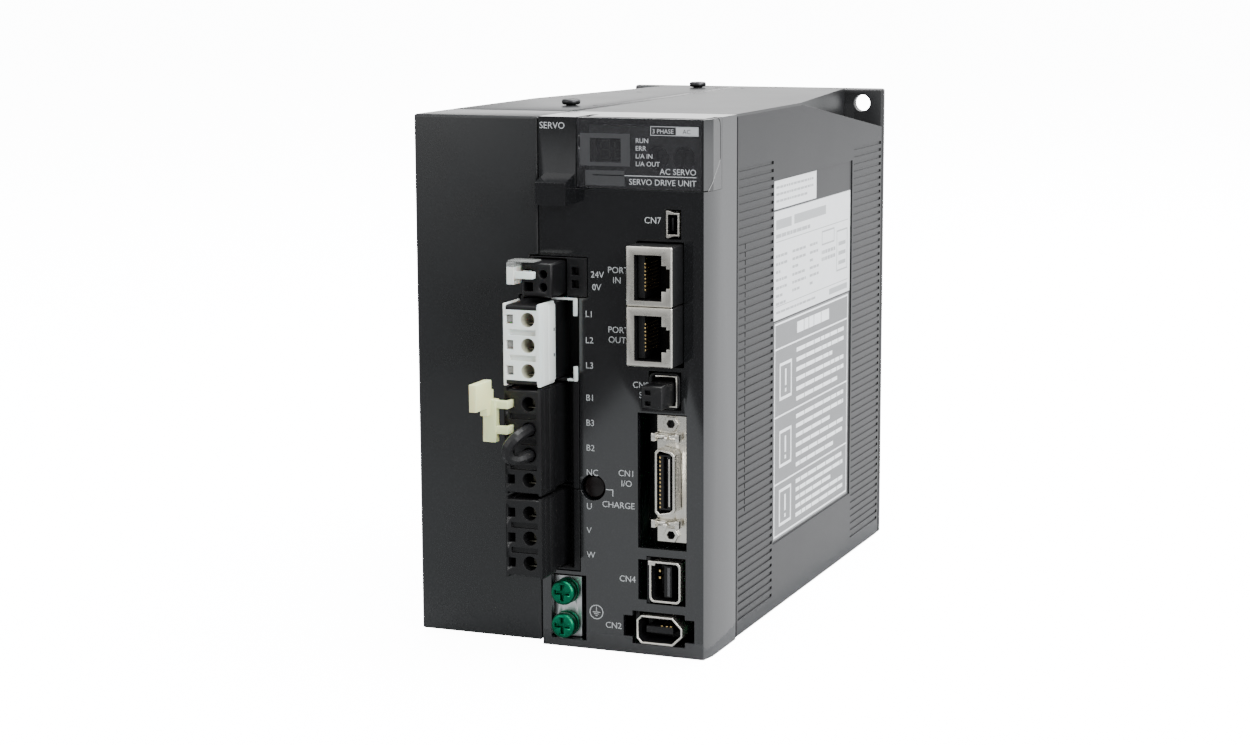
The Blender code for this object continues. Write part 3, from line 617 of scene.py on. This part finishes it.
def flap_seat():
    """Fills the cover's pocket round the lid's right flap to a thin gap.

    With the lid fully open its flap still cuts into it.
    """
    pivot, reach, wall = (7.8, 147.4), 2.85, 1.4
    edge = [(2.45, 130.45), (11.75, 130.45), (11.75, 149.9)]
    for turn in (61, 45, 30, 15, 0):
        edge.append((pivot[0] + reach * cos(radians(turn)), pivot[1] + reach * sin(radians(turn))))
    edge.append((10.65, 138.55))
    bm = bmesh.new()
    face = bm.faces.new([bm.verts.new(at(HALF - wall, y, z)) for y, z in edge])
    made = bmesh.ops.extrude_face_region(bm, geom=[face])["geom"]
    outer = [item for item in made if isinstance(item, bmesh.types.BMVert)]
    bmesh.ops.translate(bm, verts=outer, vec=(wall * MM, 0, 0))
    slope = Vector((5, -1, 0)).normalized()
    geom = bm.verts[:] + bm.edges[:] + bm.faces[:]
    place = at(HALF - 1, 0, 0)
    cut = bmesh.ops.bisect_plane(bm, geom=geom, plane_co=place, plane_no=slope, clear_outer=True)["geom_cut"]
    bmesh.ops.holes_fill(bm, edges=[item for item in cut if isinstance(item, bmesh.types.BMEdge)])
    outward(bm)
    polished(bm, 0.12, 2)
    obj = keep("cover_flap_seat", bm, FINISHES["black_housing"], "drive")
    obj.data.set_sharp_from_angle(angle=radians(9))


def top_seam():
    """The two lips where the halves of the casing meet on top, and the small dimples beside them."""
    lips = [(x, (24.6, 168.4), (149.7, 150.12)) for x in ((-6.75, -6.15), (-5.35, -4.75))]
    bars("seam_lips", lips, 0.12, FINISHES["black_housing"], "drive")
    bm = bmesh.new()
    for x, y in ((-25, 125), (-10, 52), (-10, 158), (-0.7, 157)):
        drum(bm, "z", (x, y), (0.9, 0.8), (149.9, 150.06), 20)
    polished(bm, 0.04, 1)
    keep("top_dimples", bm, FINISHES["black_plastic"], "drive")


# Labels on the right side

LABEL_X = 43.72
INK_LIFT = 0.03
INK_DEPTH = 0.012
WORD_GAP = 0.55
WORD_SCATTER = 12.9898


def print_on_side(name, boxes, look, lift=0.0, thick=0.03):
    """Flat patches on the right side, each from y to y and z to z."""
    bm = bmesh.new()
    for front, rear, low, high in boxes:
        block(bm, (LABEL_X + lift, LABEL_X + lift + thick), (front, rear), (low, high))
    keep(name, bm, look, "drive")


def lines_of_print(front, rear, low, high, rows, height, seed, mean=3.0):
    """Bars that stand for lines of small print: words of uneven length with gaps between them."""
    boxes = []
    for row in range(rows):
        z = high - (row + 0.5) * (high - low) / rows
        y = front
        step = seed + row * 7
        while y < rear - 1.0:
            step += 1
            word = mean * (0.35 + 0.65 * abs(sin(step * WORD_SCATTER)))
            end = min(y + word, rear)
            boxes.append((y, end, z - height / 2, z + height / 2))
            y = end + WORD_GAP
        if row % 3 == 2:
            boxes = boxes[:-2]
    return boxes


def frame_lines(front, rear, low, high, width):
    """The four sides of an outlined rectangle."""
    return [
        (front, rear, high - width, high),
        (front, rear, low, low + width),
        (front, front + width, low + width, high - width),
        (rear - width, rear, low + width, high - width),
    ]


def side_labels():
    white = printed("label_white", (0.70, 0.715, 0.73), 0.34)
    grey = printed("label_grey", (0.155, 0.158, 0.162), 0.36)
    ink = printed("label_ink", (0.33, 0.34, 0.35), 0.5)
    pale = printed("label_pale_ink", (0.80, 0.82, 0.84), 0.45)
    base = [(57.4, 98.0, 120.2, 128.6), (57.6, 133.6, 87.4, 119.7)]
    print_on_side("name_label", base, white)
    print_on_side("care_label", [(58.0, 132.8, 21.2, 86.9)], grey)
    small = lines_of_print(59.5, 95, 121.5, 127.6, 3, 0.7, 3)
    small += [(59.5, 74.0, 114.2, 117.0), (76.5, 108.0, 114.4, 117.2)]
    small += lines_of_print(59.5, 92, 111.2, 113.2, 1, 1.1, 11, 5)
    small += lines_of_print(59.5, 70, 91, 107.5, 7, 0.8, 21, 3.5)
    small += lines_of_print(75, 88, 93.4, 107.5, 6, 0.8, 31, 3.0)
    small += lines_of_print(92, 101, 93.4, 107.5, 6, 0.8, 41, 3.0)
    small += lines_of_print(104, 118, 99.5, 103.8, 2, 1.1, 51, 2.5)
    small += lines_of_print(60, 98, 88.6, 90.6, 1, 0.7, 61, 4)
    small += frame_lines(104, 117, 104.9, 109.4, 0.5) + frame_lines(119.5, 131, 95.0, 108.0, 0.5)
    small += [(121.5, 129, 97.0, 98.2), (121.5, 129, 100.0, 101.2), (121.5, 129, 103.0, 104.2)]
    small += [(57.6, 133.6, 119.55, 119.7), (59.5, 131.5, 110.4, 110.65), (59.5, 131.5, 91.3, 91.55)]
    small.append((112.0, 131.0, 88.6, 90.4))
    print_on_side("name_print", small, ink, INK_LIFT, INK_DEPTH)
    rows = (78.6, 58.2, 37.9)
    pale_boxes = frame_lines(58.6, 132.2, 21.8, 86.4, 0.55)
    pale_boxes += [(59.15, 131.65, z - 0.25, z + 0.25) for z in rows]
    pale_boxes += lines_of_print(80, 112, 80.2, 85.2, 1, 3.4, 5, 9)
    for n, (high, low) in enumerate(zip(rows, (*rows[1:], 22.4))):
        lines = 6 if n < 2 else 5
        pale_boxes += lines_of_print(79.5, 128, low + 1.2, high - 1.2, lines, 1.25, 70 + 13 * n, 9)
        middle = (high + low) / 2
        pale_boxes += frame_lines(63.5, 75.0, middle - 5.6, middle + 5.6, 0.9)
        pale_boxes += [(68.6, 69.9, middle - 1.6, middle + 3.4), (68.6, 69.9, middle - 3.6, middle - 2.5)]
    print_on_side("care_print", pale_boxes, pale, INK_LIFT, INK_DEPTH)


def printed(name, colour, roughness):
    """Ink or label stock: even, with a faint mottle and a slight tooth."""
    paint = Paint(name, colour, roughness)
    mottle = paint.noise(3.0, 3)
    paint.feed("Base Color", paint.blend(mottle, shade(colour, 0.95), shade(colour, 1.05)))
    paint.feed("Roughness", roughness - 0.04 + 0.08 * mottle)
    return paint.bump(paint.noise(0.2, 2), 0.001)


# Printing on the front

CAP = 1.75
INK_Y = -0.02


def legends():
    ink = printed("silkscreen", (0.36, 0.375, 0.38), 0.55)
    left = 8.05
    words = [("24V", left, 105.9), ("0V", left, 102.4)]
    words += list(zip(("L1", "L2", "L3"), (left,) * 3, (94.8, 87.5, 80.4)))
    words += list(zip(("B1", "B3", "B2", "NC"), (left,) * 4, (71.3, 64.2, 57.1, 50.1)))
    words += list(zip(("U", "V", "W"), (left,) * 3, (40.4, 33.5, 26.5)))
    words = [(text, x + (1.7, 2.1)[n] if n < 2 else x, z) for n, (text, x, z) in enumerate(words)]
    words += [("CN4", 17.9, 20.5), ("CN2", 13.6, 6.7), ("CHARGE", 12.8, 41.4)]
    for text, x, z in words:
        lettering("legend_" + text.lower(), text, (x, INK_Y, z), CAP, ink)
    centred = [
        ("CN7", 28.2, 121.5),
        ("PORT", 18.0, 107.4),
        ("IN", 17.6, 104.6),
        ("PORT", 18.0, 90.8),
        ("OUT", 17.6, 88.0),
        ("CN8", 24.6, 75.8),
        ("S", 24.6, 73.0),
        ("CN1", 20.2, 50.6),
        ("I/O", 20.2, 47.7),
    ]
    for n, (text, x, z) in enumerate(centred):
        lettering(f"legend_socket_{n}", text, (x, INK_Y, z), CAP, ink, anchor="CENTER")
    bm = bmesh.new()
    x, z = 10.9, 10.9
    ring(bm, (x, z), [(1.85, -0.03), (2.1, -0.03), (2.1, -0.005), (1.85, -0.005)])
    outward(bm)
    for low, high, half in ((0.0, 1.5, 0.11), (-0.1, 0.1, 1.15), (-0.6, -0.42, 0.75), (-1.1, -0.92, 0.35)):
        block(bm, (x - half, x + half), (-0.03, -0.005), (z + low, z + high))
    for line in (((14.0, 16.2), (46.3, 46.55)), ((15.95, 16.2), (44.6, 46.3))):
        block(bm, line[0], (-0.03, -0.005), line[1])
    keep("earth_symbol", bm, ink, "drive")


def display_print():
    ink = printed("display_ink", (0.34, 0.35, 0.36), 0.5)
    mask = printed("display_mask", (0.035, 0.036, 0.038), 0.3)
    flat = (-0.03, -0.005)
    bm = bmesh.new()
    block(bm, (10.7, 40.9), flat, (134.2, 134.42))
    for box in frame_lines(27.6, 41.5, 145.4, 147.9, 0.16):
        block(bm, box[:2], flat, box[2:])
    block(bm, (35.0, 41.3), flat, (145.6, 147.7))
    keep("cover_lines", bm, ink, "display_cover")
    bm = bmesh.new()
    for box in ((6.9, 9.8, 136.8, 145.7), (18.9, 21.6, 136.8, 145.7), (9.8, 18.9, 144.4, 145.7)):
        block(bm, box[:2], flat, box[2:])
    block(bm, (9.8, 18.9), flat, (136.8, 137.8))
    block(bm, (8.4, 20.0), flat, (131.4, 135.6))
    keep("display_surround", bm, mask, "display_cover")
    for n, text in enumerate(("RUN", "ERR", "L/A IN", "L/A OUT")):
        lettering(f"lamp_name_{n}", text, (23.2, INK_Y, 143.3 - 2.1 * n), 1.3, ink, "display_cover")
    dark = printed("rating_ink", (0.03, 0.03, 0.03), 0.5)
    lettering("cover_class", "AC SERVO", (40.9, INK_Y, 134.9), 1.6, ink, "display_cover", "RIGHT")
    lettering("cover_type", "SERVO DRIVE UNIT", (40.9, INK_Y, 131.9), 1.6, ink, "display_cover", "RIGHT")
    lettering("cover_phase", "3 PHASE", (28.1, INK_Y, 146.0), 1.2, ink, "display_cover")
    lettering("cover_current", "AC", (38.1, -0.035, 146.0), 1.2, dark, "display_cover", "CENTER")
    lettering("front_title", "SERVO", (-5.3, INK_Y, 146.7), 1.8, ink)


def digits():
    """Two unlit seven-segment digits and four lamps behind the smoked cover."""
    segment = printed("unlit_segment", (0.10, 0.095, 0.09), 0.3)
    bm = bmesh.new()
    for left in (10.9, 15.0):
        for x, z in ((0.5, 0), (0.5, 2.4), (0.5, 4.8)):
            block(bm, (left + x, left + x + 1.9), (4.95, 5.15), (138.5 + z - 0.22, 138.5 + z + 0.22))
        for x, z in ((0, 0.3), (0, 2.7), (2.5, 0.3), (2.5, 2.7)):
            block(bm, (left + x, left + x + 0.42), (4.95, 5.15), (138.5 + z, 138.5 + z + 1.8))
        drum(bm, "y", (left + 3.3, 138.4), (0.22, 0.22), (4.95, 5.15), 12)
    polished(bm, 0.06, 1)
    keep("digit_segments", bm, segment, "drive")
    lens = printed("status_lens", (0.16, 0.17, 0.16), 0.25)
    bm = bmesh.new()
    for n in range(4):
        drum(bm, "y", (22.6, 143.8 - 2.1 * n), (0.5, 0.4), (3.2, 2.9), 16)
    polished(bm, 0.08, 2)
    keep("status_lamps", bm, lens, "drive")


# Terminals


def terminal_plug(node, rows, look):
    """What stands on a terminal plug: cheeks, spring clamps, pushers and the steps on its side."""
    body = BODY_OF[node]
    low, high = span(node)
    tall = (low.z - 0.45, high.z + 0.45)
    boxes = [((low.x, low.x + 0.9), (-14.95, -5.0), tall)]
    boxes.append(((high.x - 0.75, high.x + 0.2), (-14.95, -5.0), tall))
    boxes.append(((high.x, high.x + 0.4), (-12.6, -5.2), (low.z + 0.1, high.z - 0.1)))
    boxes.append(((high.x, high.x + 0.65), (-9.6, -5.2), (low.z + 0.4, high.z - 0.4)))
    bars(node + "_cheeks", boxes, 0.2, look, body)
    clamps = []
    for row in rows:
        clamps.append(((-3.2, -1.2), (-11.2, -10.7), (row - 0.9, row + 1.6)))
        clamps.append(((-4.2, -1.2), (-12.0, -8.6), (row - 1.6, row - 1.2)))
    # The clamps' dark olive is painted shade of the holes' depth.
    bars(node + "_clamps", clamps, 0.08, CLAMP_METAL_PAINTED_SHADE, body)
    if node == "mains_plug":
        pushers = [((-9.3, -7.5), (-14.2, -10.0), (row - 0.95, row + 0.95)) for row in rows]
        bars("mains_plug_pushers", pushers, 0.25, GREY_PUSHER, body)
    # Flat black patches between the rows on the plug's side: painted shade standing in for small pits.
    pit_shades = []
    for upper, lower in zip(rows, rows[1:]):
        z = (upper + lower) / 2
        pit_shades.append(((high.x + 0.6, high.x + 0.68), (-6.6, -5.9), (z - 0.45, z + 0.45)))
    bars(node + "_pit_shades", pit_shades, 0.02, FINISHES["black_plastic"], body)


def mains_block():
    """The white plug, with painted shade: black above and below its face and behind its front 10 mm."""
    low, high = span("mains_plug")
    cheeks = (low.x + 0.9, high.x - 0.75)
    ends = (low.z + 1.25, high.z - 1.25)
    cuts = [(0, x) for x in cheeks] + [(1, -4.8)] + [(2, z) for z in ends]

    def finish(place, normal):
        middle = cheeks[0] < place.x < cheeks[1]
        # Index 2: the wire-hole walls, darkened olive-grey as painted shade.
        if abs(normal.y) < 0.7 and abs(place.x + 2.7) < 2.2 and low.z + 1.3 < place.z < high.z - 1.3:
            return 2
        # Index 1 is painted shade: the shaded groove above and below the face and the shaded plug body behind
        # y = -4.8 are painted black.
        return place.y > -4.8 or (middle and not ends[0] < place.z < ends[1])

    fine_copy("mains_plug", 0.2, cuts, [FINISHES["black_plastic"], HOLE_WALL_PAINTED_SHADE], finish)
    # The white header is painted black all over as painted shade.
    fine_copy("mains_header", 0.15, (), [FINISHES["black_plastic"]], lambda place, normal: True)


def terminals():
    mains = (95.4, 88.3, 81.2)
    regen = (72.0, 64.9, 57.8, 50.7)
    motor = (41.3, 34.2, 27.1)
    mains_block()
    terminal_plug("mains_plug", mains, FINISHES["white_plastic"])
    terminal_plug("regen_plug", regen, FINISHES["black_plastic"])
    terminal_plug("motor_plug", motor, FINISHES["black_plastic"])
    keys = [((4.4, 5.7), (0.2, 6.5), (row - 1.1, row + 1.1)) for row in (*regen, *motor)]
    bars("header_keys", keys, 0.15, FINISHES["black_plastic"], "drive")
    # White corner bars: the header's own white, kept only where light falls; the rest of the header is
    # painted black as shade.
    corners = [
        ((-2.0, 5.8), (-0.4, 1.4), (99.3, 99.95)),
        ((4.6, 5.8), (-0.6, 1.4), (94.9, 99.95)),
        ((4.6, 5.8), (-0.6, 1.4), (76.6, 80.8)),
        ((2.6, 5.8), (-0.4, 1.4), (76.55, 77.2)),
    ]
    bars("mains_header_lit_corners", corners, 0.2, FINISHES["white_plastic"], "drive")
    low, high = span("supply_lever")
    clear = [((low.x + 0.2, high.x), (low.y + 0.6, low.y + 5.8), (high.z + 0.05, high.z + 0.5))]
    bars("supply_lever_plate", clear, 0.15, FROSTED, "supply_lever")
    cut = high.z - 1.3
    lever = fine_copy("supply_lever", 0.3, [(2, cut)], [FROSTED], lambda place, normal: place.z > cut)
    lever.data.materials[0] = WHITE_LEVER.material


# Sockets


def pins_and_blades():
    gold = plated("gold_contact", (0.83, 0.60, 0.26), 0.24, 0.4)
    boxes = []
    for base in (99.75, 83.2):
        for n in range(8):
            z = base + 7.8 + (n - 3.5) * 1.02
            boxes.append(((28.2, 28.55), (-6.2, 3.5), (z - 0.22, z + 0.22)))
    bars("jack_contacts", boxes, 0.08, gold, "drive")
    boxes = []
    for n in range(13):
        z = 50.3 + (n - 6) * 1.16
        boxes.append(((31.2, 31.6), (-3.05, -1.0), (z - 0.26, z + 0.26)))
    bars("io_contacts", boxes, 0.06, gold, "drive")
    key = [((33.9, 34.3), (-3.2, -2.0), (43.6, 57.0))]
    bars("io_key", key, 0.1, FINISHES["nickel"], "drive")
    boxes = [((29.6, 30.1), (0.6, 4.0), (z - 0.3, z + 0.3)) for z in (22.4, 24.3)]
    boxes += [((x - 0.3, x + 0.3), (0.4, 5.0), (8.4, 8.7)) for x in (30.5, 32.0, 33.2)]
    bars("encoder_contacts", boxes, 0.06, gold, "drive")
    key = [((32.4, 33.2), (-0.4, 0.2), (17.4, 25.6))]
    bars("encoder_key", key, 0.15, GREY_KEY, "drive")
    bm = bmesh.new()
    for x, z in (((28.0, 35.6), (71.1, 71.5)), ((35.2, 35.6), (71.3, 79.6)), ((29.2, 35.6), (79.4, 79.8))):
        block(bm, x, (-0.95, -0.2), z)
    polished(bm, 0.12)
    keep("safety_rim", bm, FINISHES["nickel"], "drive")
    bm = bmesh.new()
    block(bm, (27.1, 29.2), (-1.5, -0.6), (26.2, 27.5))
    polished(bm, 0.2)
    keep("encoder_notch", bm, FINISHES["nickel"], "drive")
    tongue = [((33.5, 34.1), (0.6, 5.8), (119.6, 123.2))]
    bars("usb_tongue", tongue, 0.1, FINISHES["black_plastic"], "drive")
    caps = []
    for z in (62.5, 38.1):
        caps.append(((28.0, 29.3), (-1.4, 1.2), (z - 1.15, z + 1.15)))
        caps.append(((35.0, 36.3), (-1.4, 1.2), (z - 1.15, z + 1.15)))
    bars("bail_ears", caps, 0.25, FINISHES["nickel"], "drive")
    bm = bmesh.new()
    for z in (66.0, 34.6):
        ring(bm, (32.9, z), [(1.3, 2.6), (1.3, 1.3), (2.2, 1.3), (2.35, 1.45), (2.35, 2.6)], 6)
    outward(bm)
    keep("io_screw_nuts", bm, FINISHES["nickel"], "drive")
    walls = [
        ((24.0, 28.3), (8.0, 9.0), (31.0, 68.5)),
        ((28.6, 37.6), (9.2, 10.0), (31.0, 68.5)),
        ((26.3, 27.2), (-0.0, 9.0), (15.1, 28.1)),
        ((22.0, 23.2), (2.1, 9.0), (3.3, 12.1)),
        ((4.0, 8.6), (12.2, 12.9), (129.0, 147.5)),
    ]
    bars("recess_walls", walls, 0.1, FINISHES["black_plastic"], "drive")


def lined_shell(node, width, rim, outer_shade=False):
    """A metal shell whose inner walls behind the rim are black plastic, and its outer walls too if asked, as
    painted shade and painted reflection of the dark cover.
    """
    low, high = span(node)
    middle = (low + high) / 2

    def lining(place, normal):
        inward = normal.x * (middle.x - place.x) + normal.z * (middle.z - place.z)
        wall = abs(normal.y) < 0.7 and inward > 0.15
        floor = normal.y < -0.7 and place.y > low.y + 1.0
        return place.y > low.y + rim and (wall or floor or outer_shade)

    fine_copy(node, width, [(1, low.y + rim)], [FINISHES["black_plastic"]], lining)


# The width of the rounded edges, in millimetres, of each node that takes no other path.
EDGE_WIDTH = {
    "back_plate": 0.35,
    "case_screw_front": 0.12,
    "case_screw_rear": 0.12,
    "left_panel": 0.45,
    "display_panel": 0.12,
    "display_module": 0.2,
    "dial_1_body": 0.15,
    "dial_1_rotor": 0.15,
    "dial_2_body": 0.15,
    "dial_2_rotor": 0.15,
    "regen_header": 0.15,
    "motor_header": 0.15,
    "regen_plug": 0.2,
    "motor_plug": 0.2,
    "regen_lever": 0.35,
    "supply_header": 0.15,
    "supply_plug": 0.2,
    "network_in_contacts": 0.1,
    "network_out_contacts": 0.1,
    "safety_socket": 0.2,
    "safety_plug": 0.25,
    "io_bracket": 0.15,
    "io_insulator": 0.1,
    "io_bail_upper": 0.15,
    "io_bail_lower": 0.15,
    "external_encoder_core": 0.15,
    "motor_encoder_core": 0.15,
    "earth_plate": 0.15,
    "earth_screw_1": 0.2,
    "earth_screw_2": 0.2,
    "earth_washer_1": 0.15,
    "earth_washer_2": 0.15,
    "charge_lamp": 0.3,
    "heat_sink": 0.15,
    "power_module": 0.3,
    "power_board": 0.1,
    "control_board": 0.1,
    "transformer_core": 0.3,
    "transformer_coil": 0.4,
    "bus_capacitor_1": 0.4,
    "bus_capacitor_2": 0.4,
    "bus_capacitor_3": 0.4,
    "fan_frame": 0.25,
    "fan_rotor": 0.2,
    "left_case": 0.35,
}

MADE_APART = ["right_case", "front_cover", "display_cover", "mains_plug", "mains_header", "supply_lever"]

# Shells with a black lining: the width of their rounded edges and the depth of the bare rim.
LINED = {
    "network_in_shield": (0.22, 0.35),
    "network_out_shield": (0.22, 0.35),
    "usb_socket": (0.12, 0.3),
    "io_shell": (0.25, 0.5),
    "external_encoder_shell": (0.2, 0.5),
    "motor_encoder_shell": (0.25, 0.6),
}
LID_FLAP_X = 42.4

camera()
studio()
ribbed_case()
top_seam()
flap_seat()
fine_copy("front_cover", 0.3)
fine_copy(
    "display_cover",
    0.25,
    [(0, LID_FLAP_X)],
    [FINISHES["black_housing"]],
    lambda place, normal: place.x > LID_FLAP_X,
)
for node, (width, rim) in LINED.items():
    # The network shields' outer walls behind the rim are painted black as shade and as reflection of the dark
    # cover.
    lined_shell(node, width, rim, node.startswith("network"))
for node in frame["nodes"]:
    if node in MADE_APART or node in LINED:
        continue
    if node in EDGE_WIDTH:
        fine_copy(node, EDGE_WIDTH[node])
    else:
        carry_over(node)
bpy.data.objects["left_panel_fine"].data.materials[0] = SATIN_PANEL.material
side_labels()
legends()
display_print()
digits()
terminals()
pins_and_blades()
